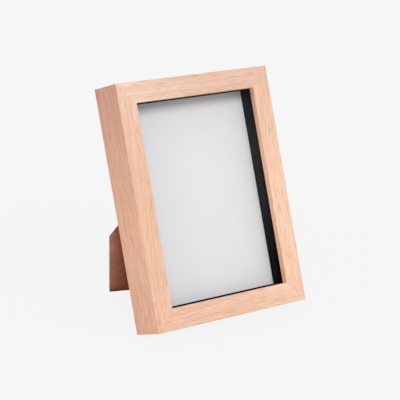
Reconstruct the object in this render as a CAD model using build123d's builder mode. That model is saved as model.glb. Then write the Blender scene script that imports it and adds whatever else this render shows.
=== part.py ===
from build123d import *
from math import cos, radians, sin
import os

# Easel back photo frame for a 13 x 18 cm print, standing upright on its two-way strut.
# Millimetres. Z is up, X runs along the frame's width and Y points to the back.
# The origin is the middle of the frame's rear bottom edge, where it stands on the table.

# Print and rails
print_width = 130.0
print_height = 180.0
print_clearance = 0.5
lip_cover = 5.0
rail_wall = 12.0
rail_depth = 33.0
lip_depth = 5.2
edge_radius = 0.6

# Layers in the rebate, from the glass to the back board
glass_thickness = 2.0
glass_seam = 0.3
spacer_depth = 12.1
spacer_show = 0.3
spacer_play = 0.1
picture_thickness = 0.3
card_thickness = 2.0
board_thickness = 3.0
board_recess = 0.3
board_corner = 1.5

# Corrugated pad behind the card
pad_liner = 0.6
flute_pitch = 10.0
flute_layers = 2
flute_foot_share = 0.37
flute_crown_share = 0.06

# V nails in the mitres
nail_leg = 5.0
nail_gauge = 0.5
nail_depth = 8.0
nail_inset_share = 0.65
nail_fit = 0.03

# How the frame stands
lean = 22.0
landscape_lean = 21.0

# Strut
strut_thickness = 2.5
strut_gap = 2.0
strut_length = 125.0
strut_top_width = 55.0
strut_foot_width = 86.0
strut_corner = 4.0
strut_edge = 0.4
open_angle = 46.0

# Strut hinge
hinge_x = -15.4
hinge_y = 106.6
hinge_tilt = 20.0
sheet = 0.8
sheet_edge = 0.25
pin_radius = 1.0
pin_fit = 0.05
pin_head_radius = 1.7
pin_head = 0.6
knuckle_length = 22.0
knuckle_slit = 0.25
knuckle_room = 0.6
ear_play = 0.3
ear_end = 1.7
base_length = 21.0
base_width = 40.0
base_neck = 3.4
base_corner = 3.0
leaf_length = 24.0
leaf_corner = 2.5
stop_play = 0.05

# Rivets of the hinge
rivet_radius = 1.4
rivet_head_radius = 2.6
rivet_head = 1.0
rivet_tail_radius = 2.2
rivet_tail = 0.8
rivet_fit = 0.03
base_rivet_spread = 26.0
base_rivet_row = 13.0
leaf_rivet_spread = 14.0
leaf_rivet_row = 15.0

# Turn buttons and their screws
button_spread = 116.0
button_gap = 0.3
button_thickness = 0.8
button_eye = 4.2
button_tip = 2.8
button_reach = 10.5
button_bead_width = 2.0
button_bead_length = 6.0
button_bead = 0.3
screw_radius = 1.5
screw_fit = 0.06
screw_length = 11.0
screw_head_radius = 2.9
screw_head = 1.7
screw_tip = 2.5
screw_tip_radius = 0.3
screw_play = 0.1
recess_length = 3.2
recess_width = 0.8
recess_depth = 0.9

# Sawtooth hangers and their nails
hanger_length = 40.0
hanger_width = 7.0
hanger_foot = 8.0
hanger_ramp = 2.0
hanger_rise = 1.8
tooth_pitch = 2.4
tooth_count = 8
tooth_depth = 1.6
pin_nail_radius = 0.7
pin_nail_fit = 0.03
pin_nail_length = 9.0
pin_nail_head_radius = 1.6
pin_nail_head = 0.5
pin_nail_tip = 1.6
pin_nail_tip_radius = 0.15

# Cuts run past the faces that they open by this much
overrun = 1.0

# Sizes that follow
rebate_width = print_width + 2 * print_clearance
rebate_height = print_height + 2 * print_clearance
frame_width = rebate_width + 2 * rail_wall
frame_height = rebate_height + 2 * rail_wall
face_width = rail_wall + print_clearance + lip_cover
spacer_width = lip_cover + spacer_show
nail_inset = rail_wall * nail_inset_share
glass_back = rail_depth - lip_depth - glass_thickness
picture_front = glass_back - spacer_depth
card_front = picture_front - picture_thickness
pad_front = card_front - card_thickness
board_front = board_recess + board_thickness
pad_thickness = pad_front - board_front
knuckle_radius = pin_radius + pin_fit + sheet
axis_height = knuckle_radius - board_recess
strut_face = strut_gap - knuckle_radius
strut_back = strut_face + strut_thickness
strut_top = knuckle_radius + knuckle_room
ear_face = knuckle_length / 2 + ear_play
leaf_width = 2 * (ear_face + sheet)
stop_height = knuckle_radius - sheet
heel = (strut_back * cos(radians(open_angle)) + stop_height) / sin(radians(open_angle)) - stop_play
button_x = (frame_width - rail_wall) / 2
screw_seat = button_gap + button_thickness + screw_play

# The frame's own plane lies on the rails' backs: x right, y up the frame, z out of the front.
# The rounded rear edge of the bottom rail touches the table at the origin.
lean_cos = cos(radians(lean))
lean_sin = sin(radians(lean))
frame_plane = Plane(
    origin=(0, edge_radius * (lean_cos - lean_sin), edge_radius * (1 - lean_cos - lean_sin)),
    x_dir=(1, 0, 0),
    z_dir=(0, -lean_cos, lean_sin),
)


def front_plane(x, y, depth=0.0, turn=0.0):
    """A plane facing the front, its height counted forward from the rails' backs."""
    return Plane(frame_plane * Pos(x, y, depth) * Rot(0, 0, turn))


def back_plane(x, y, behind=0.0, turn=0.0):
    """A plane facing the back: x right and y down, then turned about its own normal."""
    return Plane(frame_plane * Pos(x, y, -behind) * Rot(180, 0, 0) * Rot(0, 0, turn))


def side_view(plane):
    """The plane that looks along another plane's x: its x is that plane's y, its y that plane's z."""
    return Plane(origin=plane.origin, x_dir=plane.y_dir, z_dir=plane.x_dir)


# The folded hinge axis: x along the pin, y down the folded strut, z to the back.
hinge_axis = back_plane(hinge_x, hinge_y, axis_height, hinge_tilt)
# The same axis swung open with the strut.
strut_axis = Plane(hinge_axis * Rot(open_angle, 0, 0))

# The table top when the frame stands upright, and when it stands on its left side.
portrait_table = Plane.XY
left_edge = frame_plane * Pos(edge_radius - frame_width / 2, 0, edge_radius)
landscape_table = Plane(left_edge * Rot(0, 90 - landscape_lean, 0)).offset(-edge_radius)

# Each rail: where the middle of its outer edge is, which way it runs and how long it is.
rails = {
    "bottom": (front_plane(0, 0), frame_width),
    "right": (front_plane(frame_width / 2, frame_height / 2, turn=90), frame_height),
    "top": (front_plane(0, frame_height, turn=180), frame_width),
    "left": (front_plane(-frame_width / 2, frame_height / 2, turn=-90), frame_height),
}

# Turn buttons: one high and one low on each side rail, with its arm over the back board.
buttons = {
    "left_upper": back_plane(-button_x, (frame_height + button_spread) / 2),
    "left_lower": back_plane(-button_x, (frame_height - button_spread) / 2),
    "right_upper": back_plane(button_x, (frame_height + button_spread) / 2, turn=180),
    "right_lower": back_plane(button_x, (frame_height - button_spread) / 2, turn=180),
}

# Hangers: teeth down on the top rail, and teeth towards the left side on the right rail.
hangers = {
    "portrait": back_plane(0, frame_height - rail_wall / 2),
    "landscape": back_plane(button_x, frame_height / 2, turn=90),
}
hanger_nail_x = (hanger_length - hanger_foot) / 2

# Rivet places on the hinge's base and on its leaf.
base_rivets = [
    Plane(hinge_axis * Pos(side * base_rivet_spread / 2, -base_rivet_row, sheet - knuckle_radius))
    for side in (-1, 1)
]
leaf_rivets = [
    Plane(strut_axis * Pos(side * leaf_rivet_spread / 2, leaf_rivet_row, strut_back + sheet))
    for side in (-1, 1)
]


def mitred_outline(length, width):
    """A rail's outline seen from the front: the long outer edge on x, both ends cut at 45 degrees."""
    half = length / 2
    Polygon((-half, 0), (half, 0), (half - width, width), (width - half, width), align=None)


def turned_pin(plane, head_radius, head_height, shank_radius, shank_length, end_radius, end_length):
    """A domed head on the plane with its shank below, ending in a point or a flare."""
    profile_plane = Plane(origin=plane.origin, x_dir=plane.x_dir, z_dir=-plane.y_dir)
    with BuildSketch(profile_plane) as profile:
        with BuildLine():
            dome = TangentArc((0, head_height), (head_radius, 0), tangent=(1, 0))
            Polyline(
                dome @ 1,
                (shank_radius, 0),
                (shank_radius, end_length - shank_length),
                (end_radius, -shank_length),
                (0, -shank_length),
                dome @ 0,
            )
        make_face()
    revolve(profile.sketch, axis=Axis(plane.origin, plane.z_dir))


def v_nail_outline(gap):
    """One V nail in each mitre: two legs that meet on the mitre line, one in each rail."""
    x = frame_width / 2 - nail_inset
    low = nail_inset
    high = frame_height - nail_inset
    corners = [
        Location((-x, low), 0),
        Location((x, low), 90),
        Location((x, high), 180),
        Location((-x, high), 270),
    ]
    leg = nail_leg + nail_gauge / 2 + gap
    half_gauge = nail_gauge / 2 + gap
    with Locations(*corners):
        Polygon(
            (half_gauge, half_gauge),
            (-leg, half_gauge),
            (-leg, -half_gauge),
            (-half_gauge, -half_gauge),
            (-half_gauge, -leg),
            (half_gauge, -leg),
            align=None,
        )


def flute_row(layer):
    """The open channels of one corrugated layer, alternately foot down and foot up."""
    count = int((print_width - 2 * pad_liner) // flute_pitch)
    height = (pad_thickness - (flute_layers + 1) * pad_liner) / flute_layers
    bottom = pad_liner + layer * (height + pad_liner)
    foot = flute_pitch * flute_foot_share
    crown = flute_pitch * flute_crown_share
    for index in range(2 * count - 1):
        x = (index - count + 1) * flute_pitch / 2
        lower = foot if index % 2 == 0 else crown
        upper = crown if index % 2 == 0 else foot
        Polygon(
            (x - lower, bottom),
            (x + lower, bottom),
            (x + upper, bottom + height),
            (x - upper, bottom + height),
            align=None,
            mode=Mode.SUBTRACT,
        )


os.makedirs("parts", exist_ok=True)

# Four mitred rails: a wall round the rebate and a lip in front of the glass.
for side, (rail_plane, length) in rails.items():
    with BuildPart() as rail:
        with BuildSketch(rail_plane):
            mitred_outline(length, rail_wall)
        extrude(amount=rail_depth - lip_depth)
        with BuildSketch(rail_plane.offset(rail_depth - lip_depth)):
            mitred_outline(length, face_width)
        extrude(amount=lip_depth)
        long_edges = rail.edges().filter_by(Axis(rail_plane.origin, rail_plane.x_dir))
        across = Axis(rail_plane.origin, rail_plane.z_dir)
        front_edges = long_edges.group_by(across)[-1]
        outer_back_edge = long_edges.group_by(across)[0].sort_by(Axis(rail_plane.origin, rail_plane.y_dir))[0]
        fillet(front_edges + [outer_back_edge], edge_radius)
        with BuildSketch(frame_plane):
            v_nail_outline(nail_fit)
        extrude(amount=nail_depth, mode=Mode.SUBTRACT)
        with BuildSketch(*buttons.values()):
            Circle(screw_radius + screw_fit)
        extrude(amount=-(screw_length - screw_seat), mode=Mode.SUBTRACT)
        with BuildSketch(*hangers.values()):
            with GridLocations(2 * hanger_nail_x, 0, 2, 1):
                Circle(pin_nail_radius + pin_nail_fit)
        extrude(amount=-(pin_nail_length - sheet), mode=Mode.SUBTRACT)
    rail.part.label = f"{side}_rail"
    export_step(rail.part, f"parts/{side}_rail.step")

# V nails driven in flush with the backs of the mitres.
with BuildPart() as corner_v_nails:
    with BuildSketch(frame_plane):
        v_nail_outline(0)
    extrude(amount=nail_depth)
corner_v_nails.part.label = "corner_v_nails"
export_step(corner_v_nails.part, "parts/corner_v_nails.step")

# Glass behind the lip, its edges seamed.
with BuildPart() as glass_pane:
    with BuildSketch(front_plane(0, frame_height / 2, glass_back)):
        Rectangle(print_width, print_height)
    extrude(amount=glass_thickness)
    across = Axis(frame_plane.origin, frame_plane.z_dir)
    chamfer(glass_pane.edges().group_by(across)[0] + glass_pane.edges().group_by(across)[-1], glass_seam)
glass_pane.part.label = "glass_pane"
export_step(glass_pane.part, "parts/glass_pane.step")

# Black spacer strips that hold the picture back from the glass: the side ones run the full height,
# and all four show a little past the lip.
spacer_x = (print_width - spacer_width) / 2
spacer_y = (print_height - spacer_width) / 2
short_spacer = print_width - 2 * (spacer_width + spacer_play)
spacers = {
    "left": (-spacer_x, 0, spacer_width, print_height),
    "right": (spacer_x, 0, spacer_width, print_height),
    "top": (0, spacer_y, short_spacer, spacer_width),
    "bottom": (0, -spacer_y, short_spacer, spacer_width),
}
for side, (x, y, width, height) in spacers.items():
    with BuildPart() as spacer:
        with BuildSketch(front_plane(x, frame_height / 2 + y, picture_front)):
            Rectangle(width, height)
        extrude(amount=spacer_depth)
    spacer.part.label = f"{side}_spacer"
    export_step(spacer.part, f"parts/{side}_spacer.step")

# The picture: a plain sheet of paper behind the spacers.
with BuildPart() as picture_sheet:
    with BuildSketch(front_plane(0, frame_height / 2, card_front)):
        Rectangle(print_width, print_height)
    extrude(amount=picture_thickness)
picture_sheet.part.label = "picture_sheet"
export_step(picture_sheet.part, "parts/picture_sheet.step")

# Grey card that keeps the sheet flat.
with BuildPart() as backing_card:
    with BuildSketch(front_plane(0, frame_height / 2, pad_front)):
        Rectangle(print_width, print_height)
    extrude(amount=card_thickness)
backing_card.part.label = "backing_card"
export_step(backing_card.part, "parts/backing_card.step")

# Double-wall corrugated pad that fills the rebate up to the back board; its channels run upwards.
pad_plane = Plane(
    origin=front_plane(0, print_clearance + rail_wall, pad_front).origin,
    x_dir=frame_plane.x_dir,
    z_dir=frame_plane.y_dir,
)
with BuildPart() as corrugated_pad:
    with BuildSketch(pad_plane):
        Rectangle(print_width, pad_thickness, align=(Align.CENTER, Align.MIN))
        for layer in range(flute_layers):
            flute_row(layer)
    extrude(amount=print_height)
corrugated_pad.part.label = "corrugated_pad"
export_step(corrugated_pad.part, "parts/corrugated_pad.step")

# Back board, countersunk from its front for the rivet tails.
with BuildPart() as back_board:
    with BuildSketch(front_plane(0, frame_height / 2, board_recess)):
        RectangleRounded(print_width, print_height, board_corner)
    extrude(amount=board_thickness)
    for spot in base_rivets:
        drill_plane = Plane(origin=spot.origin - spot.z_dir * (sheet + board_thickness), z_dir=-spot.z_dir)
        with Locations(drill_plane):
            CounterSinkHole(
                rivet_radius + rivet_fit,
                rivet_tail_radius + rivet_fit,
                counter_sink_angle=90,
            )
back_board.part.label = "back_board"
export_step(back_board.part, "parts/back_board.step")

# Hinge base on the back board: a riveted plate whose narrow neck rolls round the pin.
base_profile = side_view(hinge_axis)
with BuildPart() as hinge_base:
    with BuildSketch(hinge_axis.offset(-knuckle_radius)):
        with Locations((0, -base_neck)):
            Rectangle(base_width, base_length - base_neck, align=(Align.CENTER, Align.MAX))
    extrude(amount=sheet)
    far_corners = hinge_base.edges().filter_by(Axis(hinge_axis.origin, hinge_axis.z_dir))
    fillet(far_corners, base_corner)
    plate_rim = hinge_base.faces().sort_by(Axis(hinge_axis.origin, hinge_axis.z_dir))[-1].edges()
    fillet(plate_rim, sheet_edge)
    with BuildSketch(base_profile):
        Circle(knuckle_radius)
        with Locations((0, -knuckle_radius)):
            Rectangle(base_neck + base_corner, sheet, align=(Align.MAX, Align.MIN))
        Circle(pin_radius + pin_fit, mode=Mode.SUBTRACT)
        with Locations((0, -stop_height)):
            Rectangle(knuckle_radius, knuckle_slit, align=(Align.MAX, Align.MIN), mode=Mode.SUBTRACT)
    extrude(amount=knuckle_length / 2, both=True)
    with BuildSketch(*base_rivets):
        Circle(rivet_radius + rivet_fit)
    extrude(amount=-sheet, mode=Mode.SUBTRACT)
hinge_base.part.label = "hinge_base"
export_step(hinge_base.part, "parts/hinge_base.step")

# Hinge leaf on the strut: a plate with two ears on the pin and a heel that stops on the base.
leaf_profile = side_view(strut_axis)
with BuildPart() as hinge_leaf:
    with BuildSketch(strut_axis.offset(strut_back)):
        with Locations((0, -heel)):
            Rectangle(leaf_width, leaf_length + heel, align=(Align.CENTER, Align.MIN))
    extrude(amount=sheet)
    far_corners = hinge_leaf.edges().filter_by(Axis(strut_axis.origin, strut_axis.z_dir))
    fillet(far_corners.sort_by(Axis(strut_axis.origin, strut_axis.y_dir))[-2:], leaf_corner)
    for ear_plane in (leaf_profile.offset(ear_face), leaf_profile.offset(-ear_face - sheet)):
        with BuildSketch(ear_plane):
            Circle(ear_end)
            Rectangle(2 * ear_end, strut_back + sheet, align=(Align.CENTER, Align.MIN))
            Circle(pin_radius + pin_fit, mode=Mode.SUBTRACT)
        extrude(amount=sheet)
    plate_rim = hinge_leaf.faces().sort_by(Axis(strut_axis.origin, strut_axis.z_dir))[-1].edges()
    fillet(plate_rim, sheet_edge)
    with BuildSketch(*leaf_rivets):
        Circle(rivet_radius + rivet_fit)
    extrude(amount=-sheet, mode=Mode.SUBTRACT)
hinge_leaf.part.label = "hinge_leaf"
export_step(hinge_leaf.part, "parts/hinge_leaf.step")

# Hinge pin through both ears and the knuckle, headed at one end and peened over at the other.
pin_half = ear_face + sheet + ear_play
with BuildPart() as hinge_pin:
    turned_pin(
        Plane(origin=hinge_axis.origin + hinge_axis.x_dir * pin_half, z_dir=hinge_axis.x_dir),
        pin_head_radius,
        pin_head,
        pin_radius,
        2 * pin_half + pin_head,
        pin_head_radius,
        pin_head,
    )
hinge_pin.part.label = "hinge_pin"
export_step(hinge_pin.part, "parts/hinge_pin.step")

# Rivets through the hinge base and the back board.
with BuildPart() as base_rivet_pair:
    for spot in base_rivets:
        turned_pin(
            spot,
            rivet_head_radius,
            rivet_head,
            rivet_radius,
            sheet + board_thickness,
            rivet_tail_radius,
            rivet_tail,
        )
base_rivet_pair.part.label = "base_rivets"
export_step(base_rivet_pair.part, "parts/base_rivets.step")

# Rivets through the hinge leaf and the strut.
with BuildPart() as leaf_rivet_pair:
    for spot in leaf_rivets:
        turned_pin(
            spot,
            rivet_head_radius,
            rivet_head,
            rivet_radius,
            sheet + strut_thickness,
            rivet_tail_radius,
            rivet_tail,
        )
leaf_rivet_pair.part.label = "leaf_rivets"
export_step(leaf_rivet_pair.part, "parts/leaf_rivets.step")

# Strut: a board that widens to its foot, cut by the table in both ways of standing.
with BuildPart() as strut:
    with BuildSketch(strut_axis.offset(strut_face)):
        Polygon(
            (-strut_top_width / 2, strut_top),
            (strut_top_width / 2, strut_top),
            (strut_foot_width / 2, strut_length),
            (-strut_foot_width / 2, strut_length),
            align=None,
        )
    extrude(amount=strut_thickness)
    upright_edges = strut.edges().filter_by(Axis(strut_axis.origin, strut_axis.z_dir))
    fillet(upright_edges.sort_by(Axis(strut_axis.origin, strut_axis.y_dir))[:2], strut_corner)
    faces = strut.faces().sort_by(Axis(strut_axis.origin, strut_axis.z_dir))
    fillet(faces[0].edges() + faces[-1].edges(), strut_edge)
    split(bisect_by=portrait_table, keep=Keep.TOP)
    split(bisect_by=landscape_table, keep=Keep.TOP)
    for spot in leaf_rivets:
        drill_plane = Plane(origin=spot.origin - spot.z_dir * (sheet + strut_thickness), z_dir=-spot.z_dir)
        with Locations(drill_plane):
            CounterSinkHole(
                rivet_radius + rivet_fit,
                rivet_tail_radius + rivet_fit,
                counter_sink_angle=90,
            )
strut.part.label = "strut"
export_step(strut.part, "parts/strut.step")

# Turn buttons: pear-shaped steel tabs with a pressed bead, each loose on its screw.
for place, button_plane in buttons.items():
    with BuildPart() as turn_button:
        with BuildSketch(button_plane.offset(button_gap)):
            Circle(button_eye)
            with Locations((button_reach, 0)):
                Circle(button_tip)
            make_hull()
        extrude(amount=button_thickness)
        rim = turn_button.faces().sort_by(Axis(button_plane.origin, button_plane.z_dir))[-1].edges()
        fillet(rim, sheet_edge)
        with BuildSketch(button_plane.offset(button_gap + button_thickness)):
            with Locations((button_reach - button_tip / 2, 0)):
                SlotOverall(button_bead_length, button_bead_width)
        extrude(amount=button_bead)
        bead_rim = turn_button.faces().sort_by(Axis(button_plane.origin, button_plane.z_dir))[-1].edges()
        fillet(bead_rim, sheet_edge)
        with BuildSketch(button_plane.offset(button_gap)):
            Circle(screw_radius + screw_fit)
        extrude(amount=button_thickness, mode=Mode.SUBTRACT)
    turn_button.part.label = f"{place}_turn_button"
    export_step(turn_button.part, f"parts/{place}_turn_button.step")

# Screws that the turn buttons swing on, with a cross recess in each head.
with BuildPart() as button_screws:
    for button_plane in buttons.values():
        seat = button_plane.offset(screw_seat)
        turned_pin(
            seat,
            screw_head_radius,
            screw_head,
            screw_radius,
            screw_length,
            screw_tip_radius,
            screw_tip,
        )
        with BuildSketch(seat.offset(screw_head)):
            Rectangle(recess_length, recess_width)
            Rectangle(recess_width, recess_length)
        extrude(amount=-recess_depth, mode=Mode.SUBTRACT)
button_screws.part.label = "button_screws"
export_step(button_screws.part, "parts/button_screws.step")

# Sawtooth hangers: flat feet on the rail and a raised bridge with teeth along its lower edge.
for way, hanger_plane in hangers.items():
    bridge_half = hanger_length / 2 - hanger_foot - hanger_ramp
    edge_plane = Plane(
        origin=hanger_plane.origin - hanger_plane.y_dir * (hanger_width / 2),
        x_dir=hanger_plane.x_dir,
        z_dir=-hanger_plane.y_dir,
    )
    with BuildPart() as hanger:
        with BuildSketch(edge_plane):
            with BuildLine():
                spine = Polyline(
                    ((sheet - hanger_length) / 2, sheet / 2),
                    (-bridge_half - hanger_ramp, sheet / 2),
                    (-bridge_half, hanger_rise + sheet / 2),
                    (bridge_half, hanger_rise + sheet / 2),
                    (bridge_half + hanger_ramp, sheet / 2),
                    ((hanger_length - sheet) / 2, sheet / 2),
                )
                offset(spine, amount=sheet / 2, side=Side.BOTH, kind=Kind.INTERSECTION, mode=Mode.REPLACE)
            make_face()
        extrude(amount=-hanger_width)
        with BuildSketch(hanger_plane):
            with Locations((0, hanger_width / 2)):
                with GridLocations(tooth_pitch, 0, tooth_count, 1):
                    Polygon((-tooth_pitch / 2, 0), (tooth_pitch / 2, 0), (0, -tooth_depth), align=None)
        extrude(amount=hanger_rise + sheet + overrun, mode=Mode.SUBTRACT)
        with BuildSketch(hanger_plane):
            with GridLocations(2 * hanger_nail_x, 0, 2, 1):
                Circle(pin_nail_radius + pin_nail_fit)
        extrude(amount=sheet, mode=Mode.SUBTRACT)
    hanger.part.label = f"{way}_hanger"
    export_step(hanger.part, f"parts/{way}_hanger.step")

# Nails through the hangers' feet into the rails.
with BuildPart() as hanger_nails:
    for hanger_plane in hangers.values():
        for side in (-1, 1):
            turned_pin(
                Plane(hanger_plane * Pos(side * hanger_nail_x, 0, sheet)),
                pin_nail_head_radius,
                pin_nail_head,
                pin_nail_radius,
                pin_nail_length,
                pin_nail_tip_radius,
                pin_nail_tip,
            )
hanger_nails.part.label = "hanger_nails"
export_step(hanger_nails.part, "parts/hanger_nails.step")
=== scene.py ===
# %% [markdown]
# # A deep wooden photo frame on its easel strut
# The real frame is four mitred sticks of pale wood round a stack of glass, black
# spacers, a plain sheet and boards, and it leans on a hinged strut. Its shapes come
# ready from the solid model, in metres, so they are loaded as they are and never
# moved. What this lesson adds is the light, the camera and a finish for each piece.

# %% Load the solid model
from math import cos, radians, sin

import bmesh
import bpy
from mathutils import Matrix, Vector

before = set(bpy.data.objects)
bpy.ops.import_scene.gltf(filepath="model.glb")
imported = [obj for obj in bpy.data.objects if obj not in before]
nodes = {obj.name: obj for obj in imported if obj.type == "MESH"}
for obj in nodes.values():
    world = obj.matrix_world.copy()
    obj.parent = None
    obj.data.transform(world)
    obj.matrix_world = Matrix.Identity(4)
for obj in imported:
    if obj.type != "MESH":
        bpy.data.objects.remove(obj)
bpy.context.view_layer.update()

# %% [markdown]
# ## The camera
# The photograph was taken from the left and a little above with a long lens, so the
# frame's edges hardly converge. A camera could be aimed with a Track To constraint,
# but the picture also rolls by a few degrees. The three axes are therefore worked out
# from the azimuth, the elevation and the roll, and written straight into the matrix.

# %% Place the camera
photo_pixels = 400
focal_pixels = 1560.4
sensor_mm = 36.0
view_azimuth = radians(-37.287)
view_elevation = radians(18.454)
view_roll = radians(3.281)
camera_place = Vector((-0.75917, -0.97013, 0.51555))

backwards = Vector((
    sin(view_azimuth) * cos(view_elevation),
    -cos(view_azimuth) * cos(view_elevation),
    sin(view_elevation),
))
level_right = Vector((cos(view_azimuth), sin(view_azimuth), 0.0))
level_up = backwards.cross(level_right)
rolled_right = level_right * cos(view_roll) + level_up * sin(view_roll)
rolled_up = level_up * cos(view_roll) - level_right * sin(view_roll)

scene = bpy.context.scene
lens = bpy.data.cameras.new("photo_lens")
lens.sensor_width = sensor_mm
lens.lens = focal_pixels / photo_pixels * sensor_mm
camera = bpy.data.objects.new("photo_camera", lens)
scene.collection.objects.link(camera)
axes = Matrix((rolled_right, rolled_up, backwards)).transposed()
camera.matrix_world = Matrix.Translation(camera_place) @ axes.to_4x4()
scene.camera = camera
print("camera lens", round(lens.lens, 2), "mm")

# %% [markdown]
# ## Shader nodes from a script
# The sky and every finish of this frame are graphs of shader nodes. They could be drawn in
# the Shader Editor and appended from a file, but then the script wouldn't stand alone. In
# a script each node takes several lines, so one helper adds a node, sets its options and
# fills its sockets. The first graph is the world's, and it starts empty.

# %% Start the world's graph
def put(tree, kind, sockets=None, **options):
    """Adds a shader node, sets its options and fills its sockets with values or links."""
    made = tree.nodes.new(kind)
    for option, value in options.items():
        setattr(made, option, value)
    for socket, value in (sockets or {}).items():
        if isinstance(value, bpy.types.NodeSocket):
            tree.links.new(value, made.inputs[socket])
        else:
            made.inputs[socket].default_value = value
    return made


scene.view_settings.view_transform = "Standard"
world = bpy.data.worlds.new("studio_dome")
scene.world = world
world.use_nodes = True
sky = world.node_tree
sky.nodes.clear()
print("world", world.name, "with the view transform", scene.view_settings.view_transform)

# %% [markdown]
# ## The dome
# The photograph was taken in soft, even light before a pale background. One large lamp
# could light it, but its shadows would be too hard for this picture, so most of the light
# is a dome from the world. The dome is dimmer than the background looks. So the Light Path
# node shows the paler backdrop to the camera, to mirrors and through glass, and the dome
# to every ray that carries light.

# %% Light the dome
backdrop_level = 0.9216
dome_level = 0.643
white = (1.0, 1.0, 1.0)


def seen_directly(tree):
    """One for camera, mirror and glass rays, and zero for the rays that carry light."""
    path = put(tree, "ShaderNodeLightPath")
    mirrored = put(tree, "ShaderNodeMath", {
        0: path.outputs["Is Camera Ray"], 1: path.outputs["Is Glossy Ray"],
    }, operation="MAXIMUM")
    seen = put(tree, "ShaderNodeMath", {
        0: mirrored.outputs[0], 1: path.outputs["Is Transmission Ray"],
    }, operation="MAXIMUM")
    return seen.outputs[0]


dome = put(sky, "ShaderNodeBackground", {"Color": (*white, 1.0), "Strength": dome_level})
backdrop = put(sky, "ShaderNodeBackground", {"Color": (*white, 1.0), "Strength": backdrop_level})
sky_mix = put(sky, "ShaderNodeMixShader", {
    0: seen_directly(sky), 1: dome.outputs[0], 2: backdrop.outputs[0],
})
put(sky, "ShaderNodeOutputWorld", {"Surface": sky_mix.outputs[0]})
print("dome at", dome_level, "behind a backdrop at", backdrop_level)

# %% [markdown]
# ## Three softboxes
# The dome alone would leave the frame flat. A softbox in front and above gives the shade
# under the top rail and along the right spacer, one overhead lifts the upper faces, and
# a small warm one low on the left stands for light that a warm surface throws back onto
# the left side. A sun lamp needs no place, but its shadows have hard edges. An area lamp
# gives soft ones, the softer the wider it is.

# %% Hang the softboxes
warm_bounce = (1.0, 0.72, 0.60)
frame_middle = (0.0, 0.03, 0.1)
left_side = (-0.06, 0.03, 0.08)


def softbox(name, place, target, width, watts, colour):
    """A square soft lamp that looks at a target."""
    light = bpy.data.lights.new(name, "AREA")
    light.size = width
    light.energy = watts
    light.color = colour
    lamp = bpy.data.objects.new(name, light)
    scene.collection.objects.link(lamp)
    lamp.location = place
    aim = Vector(target) - Vector(place)
    lamp.rotation_euler = aim.to_track_quat("-Z", "Y").to_euler()
    print(name, width, "m wide with", watts, "W")


softbox("front_softbox", (0.0, -1.17, 1.30), frame_middle, 0.6, 12.87, white)
softbox("top_softbox", (0.0, 0.03, 1.80), frame_middle, 0.8, 3.02, white)
softbox("left_softbox", (-0.36, -0.10, 0.03), left_side, 0.15, 0.54, warm_bounce)

# %% [markdown]
# ## The ground
# The frame stands on a pale seamless ground that shows no rim. A curved backdrop could be
# modelled, but it would stand in the way when the camera looks from behind. A flat disc
# that is wide enough looks the same from every side.

# %% Lay the ground
ground_reach = 4.0
ground_corners = 96

ground_mesh = bpy.data.meshes.new("ground")
shape = bmesh.new()
bmesh.ops.create_circle(shape, cap_ends=True, segments=ground_corners, radius=ground_reach)
shape.to_mesh(ground_mesh)
shape.free()
ground = bpy.data.objects.new("ground", ground_mesh)
scene.collection.objects.link(ground)
print("ground disc", ground_reach, "m in radius")

# %% [markdown]
# ## Seamless paper
# The ground in the photograph has the background's tone and hardly any shadow. A plain
# white floor would come out brighter or darker than the backdrop. So the disc glows at the
# backdrop's level for the rays that see it. Near the frame a small share of the lit paper
# comes through, so that the shadow stays. The lit paper is darker than the backdrop, and
# the glow is set a little higher there to make up for it.

# %% Make the seamless paper
ground_grey = 0.52
shade_near = 0.2
shade_far = 0.5
near_share = 0.93
near_level = 0.945

seamless = bpy.data.materials.new("seamless_paper")
seamless.use_nodes = True
ground_tree = seamless.node_tree
ground_tree.nodes.clear()
ground_spot = put(ground_tree, "ShaderNodeTexCoord").outputs["Object"]
away = put(ground_tree, "ShaderNodeVectorMath", {0: ground_spot}, operation="LENGTH")
plain = put(ground_tree, "ShaderNodeMapRange", {
    "Value": away.outputs["Value"],
    "From Min": shade_near,
    "From Max": shade_far,
    "To Min": near_share,
    "To Max": 1.0,
}, interpolation_type="SMOOTHSTEP").outputs["Result"]
plain_seen = put(ground_tree, "ShaderNodeMath", {
    0: plain, 1: seen_directly(ground_tree),
}, operation="MULTIPLY")
lit = put(ground_tree, "ShaderNodeBsdfDiffuse", {
    "Color": (ground_grey, ground_grey, ground_grey, 1.0),
})
glow = put(ground_tree, "ShaderNodeMapRange", {
    "Value": plain,
    "From Min": near_share,
    "From Max": 1.0,
    "To Min": near_level,
    "To Max": backdrop_level,
}).outputs["Result"]
even = put(ground_tree, "ShaderNodeEmission", {"Color": (*white, 1.0), "Strength": glow})
ground_mix = put(ground_tree, "ShaderNodeMixShader", {
    0: plain_seen.outputs[0], 1: lit.outputs[0], 2: even.outputs[0],
})
put(ground_tree, "ShaderNodeOutputMaterial", {"Surface": ground_mix.outputs[0]})
ground_mesh.materials.append(seamless)
print("shadow kept up to", shade_far, "m from the frame")

# %% [markdown]
# ## Glue lines in the mitres
# At the corners the rails are mitred and glued, and each joint shows as a fine dark line.
# A groove for it would be far too thin to model. A point lies on a mitre where it is as
# far from the frame's side as from its top or bottom, so the difference of these two
# distances draws the line. Unturning the frame's lean first gives coordinates across and
# up the frame.

# %% Find the mitres
frame_lean = radians(22.0)
upright = frame_lean - radians(90.0)
half_width = 0.0775
half_height = 0.1025
glue_line = 0.0001
glue_fringe = 0.0004


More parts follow.
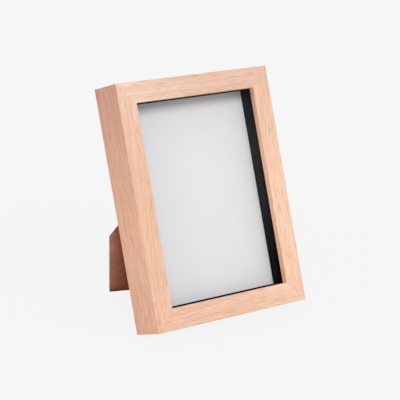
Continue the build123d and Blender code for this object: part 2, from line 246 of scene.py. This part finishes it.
def mitre_line(tree, place):
    """One on the glue lines of the four mitres, zero elsewhere."""
    flat = put(tree, "ShaderNodeMapping", {
        "Vector": place, "Rotation": (upright, 0.0, 0.0), "Location": (0.0, -half_height, 0.0),
    })
    sides = put(tree, "ShaderNodeVectorMath", {0: flat.outputs["Vector"]}, operation="ABSOLUTE")
    inset = put(tree, "ShaderNodeVectorMath", {
        0: (half_width, half_height, 0.0), 1: sides.outputs["Vector"],
    }, operation="SUBTRACT")
    apart = put(tree, "ShaderNodeVectorMath", {
        0: inset.outputs["Vector"], 1: (1.0, -1.0, 0.0),
    }, operation="DOT_PRODUCT")
    gap = put(tree, "ShaderNodeMath", {0: apart.outputs["Value"]}, operation="ABSOLUTE")
    return put(tree, "ShaderNodeMapRange", {
        "Value": gap.outputs[0],
        "From Min": glue_line,
        "From Max": glue_fringe,
        "To Min": 1.0,
        "To Max": 0.0,
    }).outputs["Result"]


print("glue lines fade out", 1000.0 * glue_fringe, "mm from the mitres")

# %% [markdown]
# ## The grain
# Seen close, this wood has cloudy patches, broad bands, long streaks, short dark dashes,
# silky fibres and fine pores. A picture of wood could be wrapped round each rail, but
# a solid pattern in Object coordinates runs round the edges as in real timber. The Wave
# texture gives rings that look drawn. So each layer is noise that is stretched along the
# rail, and one slow wander bends all of them but the patches.

# %% Draw the grain
wander_reach = 0.009
wander_stretch = (9.0, 22.0, 22.0)
patch_stretch = (14.0, 60.0, 60.0)
bent_layers = {
    "bands": ((6.0, 260.0, 260.0), 2.0),
    "streaks": ((15.0, 800.0, 800.0), 2.0),
    "dashes": ((85.0, 1000.0, 1000.0), 1.0),
    "fibres": ((130.0, 4200.0, 4200.0), 2.0),
    "pores": ((260.0, 3600.0, 3600.0), 1.0),
}


def stretched_noise(tree, place, stretch, detail, roughness=0.5):
    """Noise whose grains measure about one over the stretch along each axis, in metres."""
    scaled = put(tree, "ShaderNodeVectorMath", {0: place, 1: stretch}, operation="MULTIPLY")
    made = put(tree, "ShaderNodeTexNoise", {
        "Vector": scaled.outputs["Vector"],
        "Scale": 1.0,
        "Detail": detail,
        "Roughness": roughness,
    })
    return made.outputs["Fac"]


def grain(tree, along):
    """The layers of the grain by name, for a stick whose grain runs along x."""
    wander = stretched_noise(tree, along, wander_stretch, 2.0)
    swing = put(tree, "ShaderNodeMath", {0: wander, 1: wander_reach}, operation="MULTIPLY")
    bent = put(tree, "ShaderNodeVectorMath", {
        0: along, 1: swing.outputs[0],
    }, operation="ADD").outputs["Vector"]
    layers = {"patches": stretched_noise(tree, along, patch_stretch, 2.0)}
    for layer, (stretch, detail) in bent_layers.items():
        layers[layer] = stretched_noise(tree, bent, stretch, detail)
    return layers


print("grain of patches,", ", ".join(bent_layers))

# %% [markdown]
# ## Tones and painted light along a stick
# A stick's tone drifts from one end to the other, and its sides get a tone of their own.
# This is partly the wood's own tone and partly painted light and shade: ends and sides are
# made lighter or darker where the lamps light them too much or too little. Vertex colours
# could hold this, but they would mean changing the mesh. A colour ramp over the place along
# the stick does it in the material. Comparing the surface's normal with the frame's front
# tells the face from the sides.

# %% Let the tone drift
front_normal = (0.0, -cos(frame_lean), sin(frame_lean))


def tones(tree, pattern, stops):
    """A colour ramp over a grey pattern: stops are (position, colour) pairs."""
    made = put(tree, "ShaderNodeValToRGB", {"Fac": pattern})
    elements = made.color_ramp.elements
    while len(elements) < len(stops):
        elements.new(1.0)
    for element, (position, colour) in zip(elements, stops):
        element.position = position
        element.color = (*colour, 1.0)
    return made.outputs["Color"]


def blend_colours(tree, factor, first, second, way="MIX"):
    """Mixes two colours; the factor may be a number or a pattern."""
    # A Mix node has sockets for every data type: for colours inputs 0, 6 and 7 and output 2.
    sockets = {0: factor, 6: first, 7: second}
    made = put(tree, "ShaderNodeMix", sockets, data_type="RGBA", blend_type=way)
    return made.outputs[2]


def facing(tree, spots, direction):
    """One on a surface that faces along the direction, falling to zero on its sides."""
    turned = put(tree, "ShaderNodeVectorMath", {
        0: spots.outputs["Normal"], 1: direction,
    }, operation="DOT_PRODUCT").outputs["Value"]
    return put(tree, "ShaderNodeMath", {0: turned}, operation="ABSOLUTE").outputs[0]


def tone_drift_and_painted_light(tree, spots, along, ends, drift, side_drift):
    """A tint between the stick's ends, on its face and sides; partly painted light and shade."""
    spot = put(tree, "ShaderNodeSeparateXYZ", {"Vector": along})
    gone = put(tree, "ShaderNodeMapRange", {
        "Value": spot.outputs["X"], "From Min": ends[0], "From Max": ends[1],
    }).outputs["Result"]
    # The side tone and the face tone are partly painted light and shade.
    side_tone = tones(tree, gone, side_drift)
    face_tone = tones(tree, gone, drift)
    return blend_colours(tree, facing(tree, spots, front_normal), side_tone, face_tone)


print("the face looks along", [round(v, 3) for v in front_normal])

# %% [markdown]
# ## Pale wood
# The rails are straight-grained pale wood with a warm, slightly pink tone and a satin
# surface. Mixing in brown for each layer of the grain would grey the wood. So each layer
# multiplies the colour by a tint near white, which keeps the wood's own colour. The
# streaks also vary the gloss, and the fibres and pores give a slight relief.

# %% Make the wood
def grey(level):
    """The same level in all three channels."""
    return (level, level, level)


def new_finish(name, **constants):
    """A material with one Principled shader; the constants go on the shader's own sockets."""
    made = bpy.data.materials.new(name)
    made.use_nodes = True
    shader = made.node_tree.nodes["Principled BSDF"]
    for socket, value in constants.items():
        shader.inputs[socket.replace("_", " ")].default_value = value
    return made, made.node_tree, shader


wood_tones = [(0.35, (0.858, 0.547, 0.377)), (0.65, (0.868, 0.556, 0.413))]
layer_tints = {
    "bands": [(0.35, (0.94, 0.91, 0.88)), (0.62, grey(1.02))],
    "streaks": [(0.36, (0.95, 0.92, 0.90)), (0.62, grey(1.02))],
    "fibres": [(0.35, (0.95, 0.93, 0.91)), (0.65, grey(1.02))],
}
dash_tint = (0.82, 0.72, 0.64, 1.0)
pore_tint = (0.80, 0.72, 0.66, 1.0)
glue_tint = (0.75, 0.66, 0.58, 1.0)
glue_strength = 0.3
grain_strength = 0.3
grain_depth = 0.0001


def pale_wood(name, turn, shift, reach, drift, side_drift=None):
    """A stick with its grain along x after the turn; its tone drifts over its reach."""
    finish, tree, shader = new_finish(name, Specular_IOR_Level=0.3)
    spots = put(tree, "ShaderNodeTexCoord")
    place = spots.outputs["Object"]
    along = put(tree, "ShaderNodeMapping", {
        "Vector": place, "Rotation": (upright, 0.0, turn), "Location": shift,
    }).outputs["Vector"]
    ends = (shift[0] + reach[0], shift[0] + reach[1])
    layers = grain(tree, along)

    colour = tones(tree, layers["patches"], wood_tones)
    tints = [tone_drift_and_painted_light(tree, spots, along, ends, drift, side_drift or drift)]
    tints += [tones(tree, layers[layer], stops) for layer, stops in layer_tints.items()]
    for tint in tints:
        colour = blend_colours(tree, 1.0, colour, tint, "MULTIPLY")
    dash_mark = tones(tree, layers["dashes"], [(0.55, grey(0.0)), (0.72, grey(0.9))])
    colour = blend_colours(tree, dash_mark, colour, dash_tint, "MULTIPLY")
    pore_mark = tones(tree, layers["pores"], [(0.62, grey(0.0)), (0.70, grey(0.6))])
    colour = blend_colours(tree, pore_mark, colour, pore_tint, "MULTIPLY")
    glue = put(tree, "ShaderNodeMath", {
        0: mitre_line(tree, place), 1: glue_strength,
    }, operation="MULTIPLY").outputs[0]
    colour = blend_colours(tree, glue, colour, glue_tint, "MULTIPLY")
    tree.links.new(colour, shader.inputs["Base Color"])

    gloss = tones(tree, layers["streaks"], [(0.2, grey(0.62)), (0.8, grey(0.48))])
    tree.links.new(gloss, shader.inputs["Roughness"])
    relief = put(tree, "ShaderNodeMath", {
        0: layers["fibres"], 1: pore_mark,
    }, operation="SUBTRACT").outputs[0]
    bump = put(tree, "ShaderNodeBump", {
        "Height": relief, "Strength": grain_strength, "Distance": grain_depth,
    })
    tree.links.new(bump.outputs["Normal"], shader.inputs["Normal"])
    return finish


print("wood between", wood_tones[0][1], "and", wood_tones[1][1])

# %% [markdown]
# ## Four rails from one plank
# On the real frame each rail is sawn from another part of the plank. One material for all
# four would repeat the grain and run it straight through the mitres. So each rail gets
# its own slope of the grain, its own place in the pattern and its own tones along its
# length, and the grain turns at every corner. These tones are partly the wood's own and
# partly painted light and shade. On the left and right rails the sides are darker than
# the face, which is painted shade.

# %% Cut the four rails
def dress(finish, *names):
    """Gives these pieces of the solid model a finish."""
    for name in names:
        nodes[name].data.materials.clear()
        nodes[name].data.materials.append(finish)
    print("finish", finish.name, "on", ", ".join(names))


lying = (-half_width, half_width)
standing = (0.0, 2.0 * half_height)
# Each rail's tone stops partly paint light and shade on its ends, its face and its sides.
rail_cuts = {
    "bottom_rail": (radians(-2.5), (0.31, 0.050, 0.022), lying, [
        (0.0, (0.95, 0.98, 1.04)),
        (0.5, (0.98, 1.02, 1.09)),
        (1.0, (1.10, 1.20, 1.28)),
    ]),
    "right_rail": (radians(-89.0), (0.92, 0.036, 0.048), standing, [
        (0.0, (1.04, 1.10, 1.12)),
        (0.2, (1.09, 1.18, 1.25)),
        (0.5, (1.09, 1.19, 1.27)),
        (1.0, (0.90, 0.95, 0.98)),
    ], [
        (0.1, (0.96, 0.93, 0.87)),
        (0.3, (1.00, 1.00, 0.99)),
        (0.5, (1.03, 1.08, 1.09)),
        (1.0, (0.80, 0.77, 0.76)),
    ]),
    "top_rail": (radians(1.5), (1.57, -0.158, 0.030), lying, [
        (0.0, (0.97, 1.14, 1.28)),
        (0.5, (0.90, 0.97, 1.055)),
        (0.8, (0.91, 0.98, 1.07)),
        (1.0, (0.88, 0.93, 1.00)),
    ]),
    "left_rail": (radians(-87.0), (2.23, -0.112, 0.055), standing, [
        (0.0, (0.975, 1.035, 1.09)),
        (0.5, (0.91, 0.94, 1.00)),
        (0.8, (0.905, 0.95, 1.01)),
        (0.9, (0.93, 1.03, 1.10)),
    ], [
        (0.1, (0.87, 0.90, 0.92)),
        (0.3, (0.93, 0.97, 1.03)),
        (0.7, (0.89, 0.89, 0.93)),
        (1.0, (0.83, 0.79, 0.81)),
    ]),
}
for rail, cut in rail_cuts.items():
    dress(pale_wood("pale_wood_" + rail, *cut), rail)

# %% [markdown]
# ## Picture glass
# The pane is clear, coated picture glass. The coating takes away almost all of its mirror
# image, so the specular tint is nearly black. A pane that refracts would throw a dark
# shadow on the sheet, because the search for a lamp can't bend its rays through it. So
# the shader is a transparent one for the rays that carry light, which are shadow rays and
# those that a matt surface has scattered, and it refracts only for the rays that look.

# %% Make the glass
glass_colour = (0.990, 0.987, 0.991, 1.0)
glass, glass_tree, glass_shader = new_finish(
    "picture_glass",
    Transmission_Weight=1.0,
    Roughness=0.0,
    IOR=1.45,
    Specular_Tint=(0.01, 0.01, 0.011, 1.0),
    Base_Color=glass_colour,
)
glass_out = glass_tree.nodes["Material Output"]
clear = put(glass_tree, "ShaderNodeBsdfTransparent", {"Color": glass_colour})
glass_path = put(glass_tree, "ShaderNodeLightPath")
carries_light = put(glass_tree, "ShaderNodeMath", {
    0: glass_path.outputs["Is Shadow Ray"], 1: glass_path.outputs["Is Diffuse Ray"],
}, operation="MAXIMUM")
glass_mix = put(glass_tree, "ShaderNodeMixShader", {
    0: carries_light.outputs[0], 1: glass_shader.outputs[0], 2: clear.outputs[0],
})
glass_tree.links.new(glass_mix.outputs[0], glass_out.inputs["Surface"])
dress(glass, "glass_pane")

# %% [markdown]
# ## Black paper on the spacers
# The spacers are strips wrapped in black paper, which is matt and a little blue. Its tone is
# painted deepest black at the bottom and paler further up: painted light and painted
# reflection. A single black would look like a hole, so the tone follows the height in the
# frame, and a fine felted noise breaks it up.

# %% Make the black paper
painted_light_start = 0.022
painted_light_end = 0.175
felt_stretch = (2200.0, 2200.0, 2200.0)

black, black_tree, black_shader = new_finish("black_paper_wrap", Specular_IOR_Level=0.0)
black_place = put(black_tree, "ShaderNodeTexCoord").outputs["Object"]
felted = stretched_noise(black_tree, black_place, felt_stretch, 2.0)
felt_tint = tones(black_tree, felted, [(0.3, grey(0.85)), (0.7, grey(1.15))])
black_flat = put(black_tree, "ShaderNodeMapping", {
    "Vector": black_place, "Rotation": (upright, 0.0, 0.0),
}).outputs["Vector"]
black_spot = put(black_tree, "ShaderNodeSeparateXYZ", {"Vector": black_flat})
black_rise = put(black_tree, "ShaderNodeMapRange", {
    "Value": black_spot.outputs["Y"], "From Min": painted_light_start, "From Max": painted_light_end,
}).outputs["Result"]
# Painted light and reflection: the black is made paler higher up in the frame.
black_painted_light = tones(black_tree, black_rise, [
    (0.1, (0.0010, 0.0010, 0.0025)),
    (0.4, (0.0145, 0.0140, 0.0210)),
    (0.75, (0.0220, 0.0235, 0.0270)),
    (1.0, (0.0120, 0.0150, 0.0180)),
])
black_tone = blend_colours(black_tree, 1.0, black_painted_light, felt_tint, "MULTIPLY")
black_tree.links.new(black_tone, black_shader.inputs["Base Color"])
black_gloss = tones(black_tree, felted, [(0.3, grey(0.75)), (0.7, grey(0.6))])
black_tree.links.new(black_gloss, black_shader.inputs["Roughness"])
dress(black, "left_spacer", "right_spacer", "top_spacer", "bottom_spacer")

# %% [markdown]
# ## The plain sheet
# In the window lies a plain light grey sheet of paper. One flat colour would do from afar,
# but close up paper shows its pulp. Relief would be too fine to see behind the glass. So
# a fine noise moves the tone between two close greys, and it varies the gloss a little.

# %% Make the plain sheet
def paper(name, piece, stretch, detail, dark, light, **constants):
    """Matt paper whose pulp shows as noise between two tones."""
    finish, tree, shader = new_finish(name, Specular_IOR_Level=0.2, **constants)
    place = put(tree, "ShaderNodeTexCoord").outputs["Object"]
    pulp = stretched_noise(tree, place, stretch, detail)
    colour = tones(tree, pulp, [(0.3, dark), (0.7, light)])
    tree.links.new(colour, shader.inputs["Base Color"])
    dress(finish, piece)
    return tree, shader, pulp


sheet_tree, sheet_shader, sheet_pulp = paper(
    "plain_sheet", "picture_sheet", (900.0, 900.0, 900.0), 4.0,
    dark=(0.744, 0.756, 0.770), light=(0.791, 0.802, 0.816),
)
sheet_gloss = tones(sheet_tree, sheet_pulp, [(0.3, grey(0.7)), (0.7, grey(0.6))])
sheet_tree.links.new(sheet_gloss, sheet_shader.inputs["Roughness"])

# %% [markdown]
# ## Card and pad
# Behind the sheet are a grey card and a corrugated pad of kraft paper, which show only
# when the frame is taken apart. The recycled card is speckled, and the kraft has fibres.
# They could share one brown, but apart on a bench they are told by their tone, so each
# gets its own, with the same helper as the sheet.

# %% Make the card and the pad
card_roughness = 0.85
paper(
    "grey_card", "backing_card", (1600.0, 1600.0, 1600.0), 3.0,
    dark=(0.33, 0.32, 0.30), light=(0.47, 0.46, 0.43), Roughness=card_roughness,
)
paper(
    "kraft_pad", "corrugated_pad", (700.0, 1500.0, 300.0), 3.0,
    dark=(0.44, 0.28, 0.15), light=(0.55, 0.37, 0.21), Roughness=card_roughness,
)

# %% [markdown]
# ## Brown hardboard for the back and the strut
# Hardboard is pressed wood fibre: a dull red-brown with darker flecks a few tenths of
# a millimetre wide. Two sizes of noise give the clouds and the flecks. The cut edges are
# darker. They could be picked face by face and given a second material, but comparing
# each point's normal with that of the largest face tells edge from face in one material.

# %% Make the hardboard
cloud_stretch = (120.0, 120.0, 120.0)
fleck_stretch = (1500.0, 1500.0, 1500.0)
fleck_strength = 0.25
fleck_depth = 0.0001
edge_tone = (0.42, 0.36, 0.32)


def hardboard(name, piece, dark, light, fleck):
    """Pressed fibre board with clouds and flecks on its faces and darker cut edges."""
    finish, tree, shader = new_finish(name, Specular_IOR_Level=0.25)
    spots = put(tree, "ShaderNodeTexCoord")
    place = spots.outputs["Object"]
    clouds = stretched_noise(tree, place, cloud_stretch, 4.0)
    colour = tones(tree, clouds, [(0.3, dark), (0.7, light)])
    flecks = stretched_noise(tree, place, fleck_stretch, 2.0, roughness=0.7)
    marks = tones(tree, flecks, [(0.56, grey(0.0)), (0.70, grey(0.7))])
    colour = blend_colours(tree, marks, colour, fleck)
    broad_face = max(nodes[piece].data.polygons, key=lambda polygon: polygon.area)
    on_face = facing(tree, spots, broad_face.normal)
    edge_tint = tones(tree, on_face, [(0.3, edge_tone), (0.9, grey(1.0))])
    colour = blend_colours(tree, 1.0, colour, edge_tint, "MULTIPLY")
    tree.links.new(colour, shader.inputs["Base Color"])
    gloss = tones(tree, flecks, [(0.3, grey(0.55)), (0.7, grey(0.72))])
    tree.links.new(gloss, shader.inputs["Roughness"])
    bump = put(tree, "ShaderNodeBump", {
        "Height": flecks, "Strength": fleck_strength, "Distance": fleck_depth,
    })
    tree.links.new(bump.outputs["Normal"], shader.inputs["Normal"])
    dress(finish, piece)
    return tree, shader, colour


hardboard(
    "back_hardboard", "back_board",
    dark=(0.24, 0.115, 0.07), light=(0.32, 0.16, 0.10), fleck=(0.14, 0.06, 0.035, 1.0),
)
strut_tree, strut_shader, strut_colour = hardboard(
    "strut_hardboard", "strut",
    dark=(0.432, 0.162, 0.094), light=(0.539, 0.217, 0.132), fleck=(0.30, 0.104, 0.052, 1.0),
)

# %% [markdown]
# ## Painted light and shade on the strut
# The strut is painted paler on the left, where it stands out in the light, and deeper in
# colour behind the frame: painted light and the frame's painted shade. Texture paint could
# do this, but the border is simple. One slanted line across the strut marks where the
# painted light starts to give way, another where the full painted shade begins, and a ramp
# fills the strip between them. The strut is also paler higher up.

# %% Paint light and shade on the strut
outer_edge = -0.0450
outer_slope = -0.267
shade_edge = -0.0296
shade_slope = -0.400
least_width = 0.002
paler_from = 0.010
paler_to = 0.058

strut_place = put(strut_tree, "ShaderNodeTexCoord").outputs["Object"]
strut_spot = put(strut_tree, "ShaderNodeSeparateXYZ", {"Vector": strut_place})
across = strut_spot.outputs["X"]
height = strut_spot.outputs["Z"]


def slanted_line(slope, start):
    """How far across the strut a slanted line lies at each height."""
    return put(strut_tree, "ShaderNodeMath", {
        0: height, 1: slope, 2: start,
    }, operation="MULTIPLY_ADD").outputs[0]


lit_from = slanted_line(outer_slope, outer_edge)
shaded_from = slanted_line(shade_slope, shade_edge)
nearest = put(strut_tree, "ShaderNodeMath", {0: lit_from, 1: least_width}, operation="ADD")
fully_shaded = put(strut_tree, "ShaderNodeMath", {
    0: shaded_from, 1: nearest.outputs[0],
}, operation="MAXIMUM")
covered = put(strut_tree, "ShaderNodeMapRange", {
    "Value": across, "From Min": lit_from, "From Max": fully_shaded.outputs[0],
}).outputs["Result"]
raised = put(strut_tree, "ShaderNodeMapRange", {
    "Value": height, "From Min": paler_from, "From Max": paler_to,
}).outputs["Result"]
# Painted light on the outer edge and the frame's painted shade behind it.
painted_light_and_shade_tint = tones(strut_tree, covered, [(0.0, (1.25, 1.48, 1.75)), (1.0, (0.64, 0.55, 0.44))])
height_tint = tones(strut_tree, raised, [(0.0, (0.92, 0.85, 0.75)), (1.0, (1.07, 1.17, 1.29))])
for tint in (painted_light_and_shade_tint, height_tint):
    strut_colour = blend_colours(strut_tree, 1.0, strut_colour, tint, "MULTIPLY")
# The strut's pale edge and dark middle are painted light and shade.
print("strut faded from", outer_edge, "to", shade_edge, "m across at the table")

# %% [markdown]
# ## A painted contact shadow at the strut's foot
# Where the strut stands on the table its foot is painted nearly black: a painted contact
# shadow. A second material on the lowest faces would end in a hard line, so a ramp over
# the height above the table blends the painted shadow in.

# %% Paint the contact shadow at the foot
contact_shadow_height = 0.010
contact_shadow_colour = (0.06, 0.025, 0.015, 1.0)

low_down = put(strut_tree, "ShaderNodeMapRange", {
    "Value": height, "From Min": 0.0, "From Max": contact_shadow_height,
}).outputs["Result"]
# Painted contact shadow, darkest where the foot meets the table.
contact_shadow = tones(strut_tree, low_down, [
    (0.08, grey(1.0)), (0.2, grey(0.45)), (0.5, grey(0.16)), (1.0, grey(0.0)),
])
strut_colour = blend_colours(strut_tree, contact_shadow, strut_colour, contact_shadow_colour)
strut_tree.links.new(strut_colour, strut_shader.inputs["Base Color"])
# The dark foot is a painted contact shadow.
print("foot soiled up to", 1000.0 * contact_shadow_height, "mm above the table")

# %% [markdown]
# ## Plated steel
# The hinge, the hangers and the V nails are made from thin zinc-plated strip, the turn
# buttons are nickel-plated, and the pin, the rivets, the screws and the nails are plain
# bright steel. The colour of each is nearly even, and what the eye reads is the blurred
# reflection. A single roughness would look like plastic. So a fine noise, drawn out along
# the strip as the rolls leave it, drives the roughness and tints the colour a little.

# %% Make the steels
roll_stretch = (260.0, 900.0, 900.0)


def plated_steel(name, dark, light, smooth, rough, *pieces):
    """Rolled steel with a plating: faint roll marks in the colour and the roughness."""
    finish, tree, shader = new_finish(name, Metallic=1.0)
    place = put(tree, "ShaderNodeTexCoord").outputs["Object"]
    rolled = stretched_noise(tree, place, roll_stretch, 3.0)
    colour = tones(tree, rolled, [(0.3, dark), (0.7, light)])
    tree.links.new(colour, shader.inputs["Base Color"])
    gloss = tones(tree, rolled, [(0.3, grey(rough)), (0.7, grey(smooth))])
    tree.links.new(gloss, shader.inputs["Roughness"])
    dress(finish, *pieces)


plated_steel(
    "zinc_plate", (0.40, 0.41, 0.43), (0.47, 0.48, 0.49), 0.34, 0.42,
    "hinge_base", "hinge_leaf", "portrait_hanger", "landscape_hanger", "corner_v_nails",
)
plated_steel(
    "nickel_plate", (0.52, 0.50, 0.47), (0.58, 0.56, 0.52), 0.22, 0.28,
    "left_upper_turn_button", "left_lower_turn_button",
    "right_upper_turn_button", "right_lower_turn_button",
)
plated_steel(
    "bright_steel", (0.58, 0.58, 0.60), (0.66, 0.66, 0.67), 0.16, 0.24,
    "hinge_pin", "base_rivets", "leaf_rivets", "button_screws", "hanger_nails",
)
